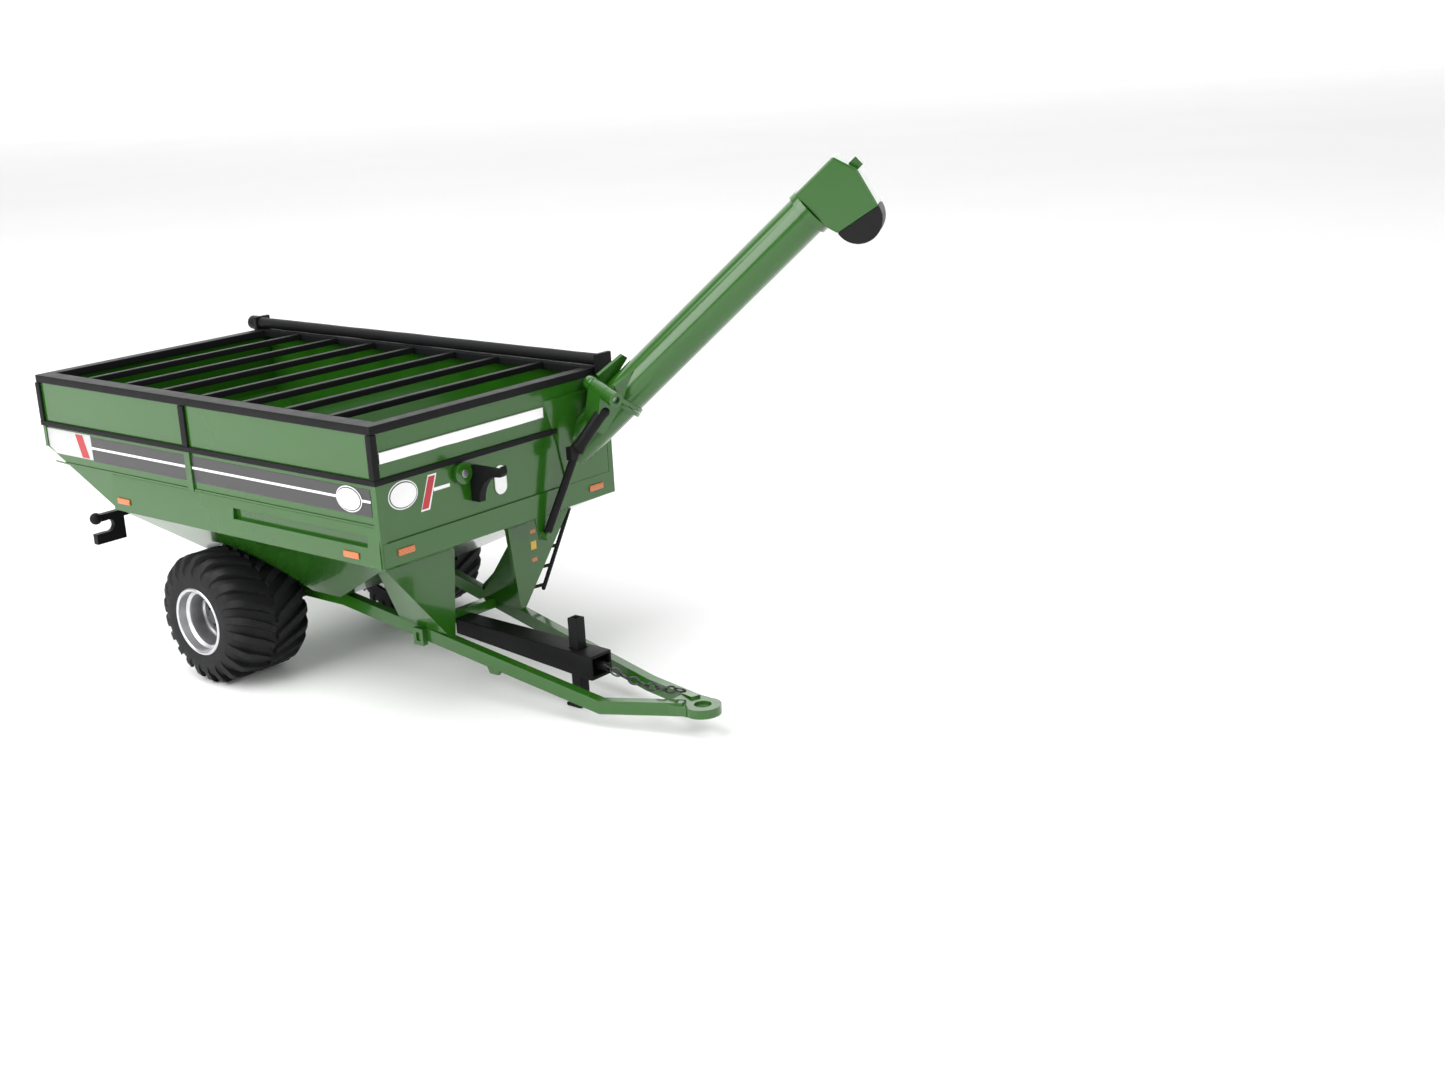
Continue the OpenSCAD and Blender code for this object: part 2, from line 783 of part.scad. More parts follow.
module axle_beam() color(green) {
  beam_l = 2 * (wheel_in - 0.8);
  beam_drop = 1.5;
  difference() {
    translate([-beam_l / 2, axle_y - 1.6, axle_z - beam_drop])
      cube([beam_l, 3.2, beam_drop + beam_half]);
    translate([-far / 2, axle_y, axle_z]) rotate([0, 90, 0]) cylinder(h = far, r = axle_r);
  }
}

dish_depth = 5.5;
hub_r = 2.2;
disc_r = bead_r - 1.8;

module axle() color(silver) {
  reach = wheel_out - dish_depth - 0.2;
  translate([-reach, axle_y, axle_z]) rotate([0, 90, 0]) cylinder(h = 2 * reach, r = axle_r);
}

// A wheel part of the side s, drawn with its axis on Z and its outer face at tyre_w
module wheel_place(s) {
  translate([s * wheel_in, axle_y, axle_z]) rotate([0, s * 90, 0]) children();
}

module wheel_rim(s) {
  w = tyre_w;
  web = 1;
  color(silver) wheel_place(s) rotate_extrude()
    polygon([[bead_r, 0.6], [bead_r, w - 0.5], [bead_r - 0.15, w - 0.1], [bead_r - 0.45, w],
             [bead_r - 0.8, w - 0.3], [bead_r - 0.9, w - 1.5], [bead_r - 1.6, w - 2.4],
             [disc_r, w - dish_depth + 1], [disc_r, w - dish_depth],
             [axle_r + run_gap, w - dish_depth], [axle_r + run_gap, 1.2], [hub_r, 1.2],
             [hub_r, w - dish_depth - web], [disc_r, w - dish_depth - web],
             [bead_r - 0.8, w - dish_depth - 2 * web], [bead_r - 0.8, 0.6]]);
}

// Squarish round section of the tyre, from bead to bead
module tyre(s) {
  color(black) wheel_place(s) rotate_extrude()
    polygon(concat(
      [[bead_r, 0.9], [bead_r, tyre_w - 0.9]],
      [for (a = [88:-8:-88])
        [bead_r + (tyre_r - bead_r) * pow(cos(a), 0.42),
         tyre_w / 2 * (1 + sign(sin(a)) * pow(abs(sin(a)), 0.62))]]));
}

module hub_disc(s) {
  color(dark_grey) wheel_place(s) translate([0, 0, tyre_w - dish_depth]) {
    cylinder(h = 1, r = disc_r);
    cylinder(h = 1.9, r = 1.7);
  }
}

// ---- Tongue box, jack, shaft and chain -------------------------------------------

module tongue_box() color(black) {
  back_y = cross_y - cross_w / 2;
  difference() {
    intersection() {
      from_side(20) polygon([[back_y, 8.5], [back_y, 11.5], [box_front_y, 10.5], [box_front_y, 6.1]]);
      linear_extrude(30) polygon([[2, back_y], [-2, back_y], [-2.65, box_front_y], [2.65, box_front_y]]);
    }
    translate([-2.1, box_front_y - 1, 6.7]) cube([4.2, mouth_depth + 1, 3.2]);
    translate([-jack_w / 2 - jack_gap, jack_y - jack_w / 2 - jack_gap, 0])
      cube([jack_w + 2 * jack_gap, jack_w + 2 * jack_gap, 20]);
  }
}

shaft_z = 8.3;
mouth_depth = 3.2;

module pto_stub() color(black) {
  translate([0, box_front_y + mouth_depth, shaft_z]) rotate([90, 0, 0]) cylinder(h = 5, r = 0.75);
}

module jack_post() color(black) {
  bore = jack_w - 1;
  difference() {
    translate([-jack_w / 2, jack_y - jack_w / 2, jack_foot_t]) cube([jack_w, jack_w, jack_top - jack_foot_t]);
    translate([-bore / 2, jack_y - bore / 2, jack_top - 3]) cube([bore, bore, 4]);
  }
}

module jack_foot() color(black) {
  translate([-2.2, jack_y - 1.7, 0]) cube([4.4, 3.4, jack_foot_t]);
}

// Chain of round links from the shaft end down to the hitch plate
module safety_chain() color(silver) {
  links = 9;
  start = [0, box_front_y - 1.2, shaft_z];
  finish = [0, hitch_y + 5, hitch_z + hitch_t / 2 + 1.5];
  sag = 1.1;
  wire_r = 0.24;
  for (i = [0:links - 1]) {
    u = i / (links - 1);
    p = start + (finish - start) * u - [0, 0, 4 * sag * u * (1 - u)];
    lean = i % 2 == 0 ? [90, 0, 0] : [0, 90, 0];
    translate(p) rotate(lean) rotate_extrude() translate([1.15, 0]) circle(wire_r, $fn = 16);
  }
}

// ---- Rear hitch ------------------------------------------------------------------

tow_x = -12;
tow_y = 90;
tow_z = rim_z - 28.6;

module rear_bracket() color(green) {
  difference() {
    translate([tow_x - 1.8, tow_y - 2.3, tow_z - 1.4]) cube([3.6, 4.6, 16]);
    tub_solid(0, wall_top);
    translate([-far / 2, 0, sill_z + 8]) cube([far, far, far]);
  }
}

// Towing hook on the rear bracket: an arm with a ball end over a rounded hook
module rear_hitch() color(black) {
  root = tow_x - 1.8;
  reach = 12.6;
  arm_t = 1.4;
  hook_drop = 5.4;
  difference() {
    union() {
      translate([root - reach, tow_y - arm_t / 2, tow_z - 0.9]) cube([reach, arm_t, arm_t]);
      translate([root - reach, tow_y, tow_z - 0.2]) sphere(1.2);
      translate([root - 10, tow_y - arm_t / 2, tow_z - hook_drop]) cube([3.3, arm_t, hook_drop]);
      translate([root - reach - 0.7, tow_y - arm_t / 2, tow_z - hook_drop])
        cube([6, arm_t, 2.1]);
    }
    translate([root - 10.2, tow_y, tow_z - 2.1]) rotate([90, 0, 0])
      cylinder(h = 10, r = 1.25, center = true);
  }
}

placed() tub();
placed() hopper();
placed() rim_cap();
placed() bow(1);  // bow_1
placed() bow(2);  // bow_2
placed() bow(3);  // bow_3
placed() bow(4);  // bow_4
placed() bow(5);  // bow_5
placed() bow(6);  // bow_6
placed() bow(7);  // bow_7
placed() tarp_roll();
placed() tarp_end_caps();
placed() tarp_knob();
placed() belt_rib();
placed() corner_posts();
placed() side_posts();
placed() reflective_strip();
placed() sight_window();
placed() rest_bracket();
placed() bracket_boss();
placed() bracket_rivet();
placed() auger_housing();
placed() lower_auger_tube();
placed() hinge_pin();
placed() upper_auger_tube();
placed() discharge_hood();
placed() hood_lug();
placed() spout();
placed() strut_foot();
placed() strut_rod();
placed() strut_barrel();
placed() ladder();
placed() leg_left();
placed() leg_right();
placed() frame_rail_left();
placed() frame_rail_right();
placed() cross_member();
placed() hitch_plate();
placed() rail_clamps();
placed() rail_tabs();
placed() axle_beam();
placed() axle();
placed() wheel_rim(1);  // wheel_rim_left
placed() wheel_rim(-1);  // wheel_rim_right
placed() tyre(1);  // tyre_left
placed() tyre(-1);  // tyre_right
placed() hub_disc(1);  // hub_disc_left
placed() hub_disc(-1);  // hub_disc_right
placed() tongue_box();
placed() pto_stub();
placed() jack_post();
placed() jack_foot();
placed() safety_chain();
placed() rear_bracket();
placed() rear_hitch();
placed() reflectors();
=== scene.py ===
"""Looks of the scale-model grain cart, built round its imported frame."""

import json
import math
import random

import bmesh
import bpy
from bpy.props import FloatProperty, FloatVectorProperty, IntProperty, PointerProperty
from mathutils import Matrix, Vector


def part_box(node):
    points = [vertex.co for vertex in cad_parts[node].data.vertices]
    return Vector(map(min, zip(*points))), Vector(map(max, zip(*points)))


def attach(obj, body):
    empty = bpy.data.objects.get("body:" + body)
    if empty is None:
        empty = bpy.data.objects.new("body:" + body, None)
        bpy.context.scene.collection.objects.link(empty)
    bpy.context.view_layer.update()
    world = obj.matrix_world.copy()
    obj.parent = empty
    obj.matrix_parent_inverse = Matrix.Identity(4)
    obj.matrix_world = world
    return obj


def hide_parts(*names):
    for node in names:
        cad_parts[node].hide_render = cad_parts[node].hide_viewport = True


bl_info = {
    "name": "Grain cart finish",
    "version": (1, 0, 0),
    "blender": (4, 5, 0),
    "location": "View3D > Sidebar > Grain cart",
    "description": "Paint, tyres, decals, tarp and stage for the scale-model grain cart",
    "category": "Object",
}

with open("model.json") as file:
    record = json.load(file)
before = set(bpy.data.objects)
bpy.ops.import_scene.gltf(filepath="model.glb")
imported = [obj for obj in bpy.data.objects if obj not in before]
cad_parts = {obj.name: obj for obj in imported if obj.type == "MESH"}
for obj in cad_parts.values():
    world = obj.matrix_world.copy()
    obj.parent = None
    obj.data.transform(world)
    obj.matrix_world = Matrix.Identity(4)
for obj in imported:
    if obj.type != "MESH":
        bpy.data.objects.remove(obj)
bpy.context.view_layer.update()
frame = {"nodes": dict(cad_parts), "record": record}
MM = 0.001

# Datum planes of the cart, read from the frame
FRONT_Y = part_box("hopper")[0].y
HALF_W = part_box("hopper")[1].x
RIM_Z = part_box("rim_cap")[1].z
GROUND_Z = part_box("tyre_left")[0].z
BEAD_R = (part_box("wheel_rim_left")[1].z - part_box("wheel_rim_left")[0].z) / 2

# Slot and body of every CAD node, and the nodes that a step only rounds and paints
SLOTS = {row["node"]: row["material_slot"] for row in frame["record"]["subparts"]}
BODY_OF = {n: b for b, ns in frame["record"]["behaviour"]["bodies"].items() for n in ns}
SHEET_NODES = ["tub", "hopper", "auger_housing", "leg_left", "leg_right", "frame_rail_left",
               "frame_rail_right", "cross_member", "hitch_plate", "rail_clamps", "rail_tabs", "strut_foot",
               "axle_beam", "rear_bracket", "bracket_boss"]
TRIM_NODES = ["rim_cap", "belt_rib", "corner_posts", "side_posts", "rest_bracket",
              "tarp_end_caps", "tarp_knob", "strut_rod", "strut_barrel", "ladder",
              "tongue_box", "pto_stub", "jack_post", "jack_foot", "rear_hitch",
              "reflective_strip", "sight_window", "bracket_rivet", "reflectors"]
BOWS = 7

# Vertices nearer than this, in metres, are one vertex
WELD = 0.000002
# Millimetres below the rim where the side walls stop and the rear slope starts
KNEE_BELOW_RIM = 14.4
# Millimetres that the corner strips of the tub stand behind its rear wall
STRIP_STANDOFF = 0.35


# ---- Sizes and colours a user may change -----------------------------------------

class CART_PG_paint(bpy.types.PropertyGroup):
    """Colours of the painted, moulded and printed surfaces"""

    green: FloatVectorProperty(
        name="Green enamel", description="Colour of the tub, auger and frame",
        subtype="COLOR", size=3, min=0, max=1, default=(0.016, 0.092, 0.005))
    black: FloatVectorProperty(
        name="Black trim", description="Colour of the rim, ribs, bows and tongue",
        subtype="COLOR", size=3, min=0, max=1, default=(0.007, 0.007, 0.0075))
    silver: FloatVectorProperty(
        name="Wheel silver", description="Colour of the wheel rims",
        subtype="COLOR", size=3, min=0, max=1, default=(0.66, 0.66, 0.67))
    stripe: FloatVectorProperty(
        name="Side stripe", description="Colour of the dark stripe on the sides",
        subtype="COLOR", size=3, min=0, max=1, default=(0.032, 0.031, 0.033))
    amber: FloatVectorProperty(
        name="Marker amber", description="Colour of the reflectors",
        subtype="COLOR", size=3, min=0, max=1, default=(0.5, 0.14, 0.035))


class CART_PG_tyre(bpy.types.PropertyGroup):
    """Tread and rim of both wheels"""

    lugs: IntProperty(
        name="Lugs a side", description="Number of tread lugs on each half of a tyre",
        min=12, max=30, default=22)
    lug_height: FloatProperty(
        name="Lug height", description="How far the lugs stand out of the tread",
        unit="LENGTH", min=0.0004, max=0.0016, default=0.0007)
    sweep: FloatProperty(
        name="Lug sweep", description="Turn of a lug from its inner end to the shoulder",
        subtype="ANGLE", min=0.1, max=0.6, default=0.34)


class CART_PG_edges(bpy.types.PropertyGroup):
    """Rounding of the sheet and moulded edges"""

    sheet: FloatProperty(
        name="Sheet edge", description="Radius on the tub and frame edges",
        unit="LENGTH", min=0.00005, max=0.0004, default=0.00016)
    moulded: FloatProperty(
        name="Moulded edge", description="Radius on the black trim edges",
        unit="LENGTH", min=0.00005, max=0.0004, default=0.00018)
    hood: FloatProperty(
        name="Hood edge", description="Radius on the discharge hood",
        unit="LENGTH", min=0.0001, max=0.0016, default=0.0011)


# ---- Materials -------------------------------------------------------------------

class Value:
    """A number in a material's node tree that can be used in plain arithmetic"""

    def __init__(self, finish, socket):
        self.finish = finish
        self.socket = socket

    def maths(self, operation, first, second):
        """Adds a Math node and gives back its result"""
        node = self.finish.node("ShaderNodeMath", {"operation": operation}, {0: first, 1: second})
        return Value(self.finish, node.outputs[0])

    def __add__(self, other):
        return self.maths("ADD", self, other)

    __radd__ = __add__

    def __sub__(self, other):
        return self.maths("SUBTRACT", self, other)

    def __rsub__(self, other):
        return self.maths("SUBTRACT", other, self)

    def __mul__(self, other):
        return self.maths("MULTIPLY", self, other)

    __rmul__ = __mul__


class Finish:
    """One material and the few calls that build its node tree"""

    def __init__(self, name, fixed):
        self.material = bpy.data.materials.new(name)
        self.material.use_nodes = True
        self.tree = self.material.node_tree
        self.shader = self.tree.nodes["Principled BSDF"]
        for socket, value in fixed.items():
            self.shader.inputs[socket].default_value = value

    def node(self, kind, settings=None, values=None):
        """Adds a node, sets its settings, then its input values or links"""
        made = self.tree.nodes.new(kind)
        for key, value in (settings or {}).items():
            setattr(made, key, value)
        for key, value in (values or {}).items():
            if isinstance(value, Value):
                value = value.socket
            if isinstance(value, bpy.types.NodeSocket):
                self.tree.links.new(value, made.inputs[key])
            else:
                made.inputs[key].default_value = value
        return made

    def place(self):
        """Where a point lies in its piece's own frame"""
        return self.node("ShaderNodeTexCoord").outputs["Object"]

    def noise(self, scale, detail=3.0, squash=(1, 1, 1)):
        """Soft cloud noise, from 0 to 1"""
        turned = self.node("ShaderNodeMapping", None, {"Vector": self.place(), "Scale": squash})
        made = self.node("ShaderNodeTexNoise", None,
                         {"Vector": turned.outputs[0], "Scale": scale, "Detail": detail})
        return Value(self, made.outputs["Fac"])

    def blend(self, factor, first, second):
        """Colour that goes from first to second as factor goes from 0 to 1"""
        made = self.node("ShaderNodeMix", {"data_type": "RGBA"},
                         {"Factor": factor, "A": (*first, 1), "B": (*second, 1)})
        return made.outputs["Result"]

    def feed(self, socket, value):
        """Links a value or a socket into the shader"""
        if isinstance(value, Value):
            value = value.socket
        self.tree.links.new(value, self.shader.inputs[socket])

    def bump(self, height, strength, distance):
        """Fine relief from a height, without moving the surface"""
        made = self.node("ShaderNodeBump", None,
                         {"Height": height, "Strength": strength, "Distance": distance})
        self.feed("Normal", made.outputs[0])


def shade(colour, factor):
    """A colour made lighter or darker by a factor"""
    return tuple(min(1.0, c * factor) for c in colour)


def enamel(name, colour):
    """Glossy sprayed enamel: faint orange peel and slightly uneven gloss"""
    f = Finish(name, {"Coat Weight": 0.5, "Coat Roughness": 0.05, "IOR": 1.46})
    cloud = f.noise(60, 2)
    f.feed("Base Color", f.blend(cloud, shade(colour, 0.88), shade(colour, 1.12)))
    f.feed("Roughness", f.noise(240, 2) * 0.1 + 0.15)
    f.bump(f.noise(2600, 2), 0.12, 0.00004)
    return f.material


def moulding(name, colour, rough, grain=2600):
    """Moulded plastic with a fine grain"""
    f = Finish(name, {"IOR": 1.46, "Specular IOR Level": 0.14})
    f.feed("Base Color", f.blend(f.noise(90, 2), shade(colour, 0.8), shade(colour, 1.35)))
    f.feed("Roughness", f.noise(300, 3) * 0.16 + (rough - 0.08))
    f.bump(f.noise(grain, 3), 0.25, 0.00005)
    return f.material


def metal(name, colour, rough, squash=(1, 1, 1)):
    """Bare or silver-painted metal with fine drawn marks"""
    f = Finish(name, {"Metallic": 1.0})
    marks = f.noise(900, 3, squash)
    f.feed("Base Color", f.blend(marks, shade(colour, 0.86), shade(colour, 1.05)))
    f.feed("Roughness", marks * 0.16 + (rough - 0.08))
    f.bump(marks, 0.1, 0.00003)
    return f.material


def tyre_rubber(name):
    """Matt rubber: grey dust in soft patches over a black body"""
    f = Finish(name, {"IOR": 1.45, "Specular IOR Level": 0.35})
    dust = f.noise(180, 4)
    f.feed("Base Color", f.blend(dust, (0.004, 0.004, 0.0045), (0.01, 0.01, 0.011)))
    f.feed("Roughness", f.noise(420, 3) * 0.2 + 0.55)
    f.bump(f.noise(1500, 4), 0.35, 0.00008)
    return f.material


def print_ink(name, colour):
    """Printed decal film: flat ink with a light gloss"""
    f = Finish(name, {"Coat Weight": 0.2, "Coat Roughness": 0.15})
    f.feed("Base Color", f.blend(f.noise(140, 2), shade(colour, 0.93), shade(colour, 1.05)))
    f.feed("Roughness", f.noise(300, 2) * 0.1 + 0.28)
    return f.material


def lens(name, colour):
    """Moulded reflector with fine diagonal ribs"""
    f = Finish(name, {"Coat Weight": 0.5})
    wave = f.node("ShaderNodeTexWave", {"bands_direction": "DIAGONAL"},
                  {"Vector": f.place(), "Scale": 900.0})
    ribs = Value(f, wave.outputs["Fac"])
    f.feed("Base Color", f.blend(ribs, shade(colour, 0.8), shade(colour, 1.2)))
    f.feed("Roughness", f.noise(200, 2) * 0.1 + 0.25)
    f.bump(ribs, 0.3, 0.00005)
    return f.material


PAINTS = {}


def build_paints():
    """Makes every material once, with the colours set in the panel"""
    p = bpy.context.scene.cart_paint
    PAINTS.update(
        green_paint=enamel("green_enamel", p.green),
        black_trim=moulding("black_satin", p.black, 0.44),
        tarp_vinyl=moulding("tarp_vinyl", (0.01, 0.01, 0.011), 0.48, 1800),
        bright_strip=metal("bright_foil", (0.9, 0.9, 0.9), 0.2, (1, 1, 12)),
        white_window=print_ink("window_white", (0.8, 0.8, 0.8)),
        wheel_silver=metal("wheel_silver", p.silver, 0.32),
        steel=metal("bare_steel", (0.5, 0.5, 0.5), 0.32),
        chain_steel=metal("blackened_steel", (0.06, 0.06, 0.062), 0.34),
        disc_grey=moulding("disc_grey", (0.075, 0.075, 0.08), 0.42),
        tyre_rubber=tyre_rubber("tyre_rubber"),
        spout_rubber=moulding("spout_rubber", (0.012, 0.012, 0.012), 0.42),
        amber_marker=lens("amber_lens", p.amber),
        stripe=print_ink("stripe_film", p.stripe),
        white_ink=print_ink("white_film", (0.82, 0.82, 0.82)),
        silver_ink=print_ink("silver_film", (0.5, 0.5, 0.5)),
        red_ink=print_ink("red_film", (0.42, 0.012, 0.02)),
        black_ink=print_ink("black_film", (0.012, 0.012, 0.012)),
        yellow_ink=print_ink("yellow_film", (0.62, 0.4, 0.03)),
    )


# ---- Mesh helpers ----------------------------------------------------------------

def place(x, y, z):
    """Point from millimetres: across, behind the front wall, and below (-) the rim"""
    return Vector((x * MM, FRONT_Y + y * MM, RIM_Z + z * MM))


def smooth_by_angle(mesh, degrees):
    """Smooth faces, with edges steeper than an angle kept sharp"""
    bm = bmesh.new()
    bm.from_mesh(mesh)
    limit = math.radians(degrees)
    for face in bm.faces:
        face.smooth = True
    for edge in bm.edges:
        edge.smooth = len(edge.link_faces) == 2 and edge.calc_face_angle(0) < limit
    bm.to_mesh(mesh)
    bm.free()


def finish_piece(bm, name, paint, body, node=None, smooth=35, level=True):
    """Turns a bmesh into a piece that rides on its body and may replace a CAD node"""
    mesh = bpy.data.meshes.new(name)
    bm.to_mesh(mesh)
    bm.free()
    smooth_by_angle(mesh, smooth)
    piece = bpy.data.objects.new(name, mesh)
    bpy.context.scene.collection.objects.link(piece)
    mesh.materials.append(PAINTS[paint])
    if level:
        weigh = piece.modifiers.new("even_normals", "WEIGHTED_NORMAL")
        weigh.keep_sharp = True
    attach(piece, body)
    for each in ([node] if isinstance(node, str) else node or []):
        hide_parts(each)
    return piece


def tuck_ridges(bm):
    """Draws the ends of the side ridges in to the sloping rear of the side walls"""
    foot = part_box("hopper")[1]
    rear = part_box("tub")[1].y - STRIP_STANDOFF * MM
    knee = place(0, 0, -KNEE_BELOW_RIM).z
    slope = (rear - foot.y) / (knee - foot.z)
    for v in bm.verts:
        edge = rear - max(0.0, knee - v.co.z) * slope
        if abs(v.co.x) > HALF_W - 0.02 * MM and v.co.y > edge:
            v.co.y = edge


def softened(node, radius, paint=None, segments=2, angle=28, outside=False):
    """A copy of a CAD node with its sharp edges rounded, in that node's place"""
    source = frame["nodes"][node]
    slot = SLOTS[node]
    bm = bmesh.new()
    bm.from_mesh(source.data)
    bmesh.ops.remove_doubles(bm, verts=bm.verts, dist=WELD)
    bmesh.ops.dissolve_limit(bm, angle_limit=math.radians(0.8), verts=bm.verts, edges=bm.edges)
    if node == "tub":
        tuck_ridges(bm)
    limit = math.radians(angle)
    sharp = [e for e in bm.edges if len(e.link_faces) == 2 and e.calc_face_angle(0) > limit
             and not (outside and e.calc_face_angle_signed(0) < 0)]
    bmesh.ops.bevel(bm, geom=sharp, offset=radius, offset_type="OFFSET", segments=segments,
                    profile=0.5, affect="EDGES", clamp_overlap=True, material=-1)
    return finish_piece(bm, f"{node}_finished", paint or slot, BODY_OF[node], node, 40)



class CART_OT_sheet_metal(bpy.types.Operator):
    """Rounds and paints the tub, hopper, legs and frame"""

    bl_idname = "cart.sheet_metal"
    bl_label = "Sheet metal"

    def execute(self, context):
        for node in SHEET_NODES:
            softened(node, context.scene.cart_edges.sheet)
        return {"FINISHED"}


class CART_OT_trim(bpy.types.Operator):
    """Rounds and paints the black trim, bows, tongue and small fittings"""

    bl_idname = "cart.trim"
    bl_label = "Trim"

    def execute(self, context):
        radius = context.scene.cart_edges.moulded
        for node in TRIM_NODES:
            softened(node, radius)
        for i in range(1, BOWS + 1):
            softened(f"bow_{i}", radius)
        return {"FINISHED"}


class CART_OT_auger(bpy.types.Operator):
    """Rounds and paints the folding auger, its hood and its spout"""

    bl_idname = "cart.auger"
    bl_label = "Auger"

    def execute(self, context):
        edges = context.scene.cart_edges
        softened("lower_auger_tube", edges.sheet)
        softened("upper_auger_tube", edges.sheet)
        softened("discharge_hood", edges.hood, segments=5, outside=True)
        softened("hood_lug", edges.sheet)
        softened("spout", edges.sheet)
        softened("hinge_pin", edges.sheet * 0.5)
        softened("axle", edges.sheet, "steel")
        return {"FINISHED"}


# ---- Wheels ----------------------------------------------------------------------

def spun(bm, outline, centre, steps):
    """Spins an outline of (across, radius) points about the X line through centre"""
    verts = [bm.verts.new(centre + Vector((x, 0, r))) for x, r in outline]
    edges = [bm.edges.new(pair) for pair in zip(verts, verts[1:])]
    bmesh.ops.spin(bm, geom=verts + edges, cent=centre, axis=(1, 0, 0), dvec=(0, 0, 0),
                   angle=math.tau, steps=steps, use_merge=True, use_duplicate=False)
    bmesh.ops.remove_doubles(bm, verts=bm.verts, dist=WELD)


def tyre_radius(u, bead, outer):
    """Radius of the tyre's skin at u, from -1 on one face to 1 on the other"""
    return bead + (outer - bead) * max(0.0, 1 - abs(u) ** 3.6) ** 0.36


def tyre_outline(half, bead, outer):
    """Section of the casing from bead to bead, with a rib on each side wall"""
    points = []
    for i in range(41):
        turn = math.pi * (i / 40 - 0.5)
        u = math.copysign(abs(math.sin(turn)) ** 0.62, math.sin(turn))
        r = bead + (outer - bead) * math.cos(turn) ** 0.44
        rib = 0.12 * MM if 0.22 < (r - bead) / (outer - bead) < 0.34 else 0
        points.append((u * (half - 0.15 * MM) + math.copysign(rib, u), r))
    return points


def lug_shape(bm, side, start, sizes, wheel):
    """One tread lug, swept from near the middle of the tread over the shoulder"""
    half, outer, casing = wheel
    steps = 8
    made = bmesh.ops.create_grid(bm, x_segments=steps, y_segments=2, size=0.5)
    top = list({f for v in made["verts"] for f in v.link_faces})
    base = bmesh.ops.extrude_face_region(bm, geom=top, use_keep_orig=True)
    low = {v for v in base["geom"] if isinstance(v, bmesh.types.BMVert)}
    for v in set(made["verts"]) | low:
        run = v.co.x + 0.5
        across = (0.04 + 0.955 * run) * half
        drop = max(0.0, run - 0.72) / 0.28
        crest = outer - sizes["fall"] * drop ** 2.2
        foot = v in low
        r = min(casing(across / half) - 0.5 * MM, crest - 0.3 * MM) if foot else crest
        thick = sizes["thick"] * (1.0 + 0.35 * run) * (1.25 if foot else 0.78)
        turn = start + sizes["sweep"] * run ** 0.85 + v.co.y * thick / outer
        v.co = Vector((side * across, r * math.sin(turn), r * math.cos(turn)))
    return set(made["verts"]) | low


def tyre(node, tread):
    """Casing and both rows of lugs, in place of a CAD tyre"""
    low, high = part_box(node)
    centre = (low + high) / 2
    half = (high.x - low.x) / 2
    outer = (high.z - low.z) / 2
    casing_r = outer - tread.lug_height
    bm = bmesh.new()
    spun(bm, tyre_outline(half, BEAD_R, casing_r), centre, 96)
    sizes = {"fall": 2.6 * MM, "thick": 1.45 * MM, "sweep": tread.sweep}

    def casing(u):
        return tyre_radius(u, BEAD_R, casing_r)

    pitch = math.tau / tread.lugs
    lugs = bmesh.new()
    for half_side in (-1, 1):
        for i in range(tread.lugs):
            start = i * pitch + (pitch / 2 if half_side > 0 else 0)
            lug_shape(lugs, half_side, start, sizes, (half - 0.1 * MM, outer, casing))
    bmesh.ops.translate(lugs, verts=lugs.verts, vec=centre)
    block = bpy.data.meshes.new("lug_block")
    lugs.to_mesh(block)
    lugs.free()
    bm.from_mesh(block)
    bpy.data.meshes.remove(block)
    bmesh.ops.recalc_face_normals(bm, faces=bm.faces)
    return finish_piece(bm, f"{node}_tread", "tyre_rubber", BODY_OF[node], node, 38)


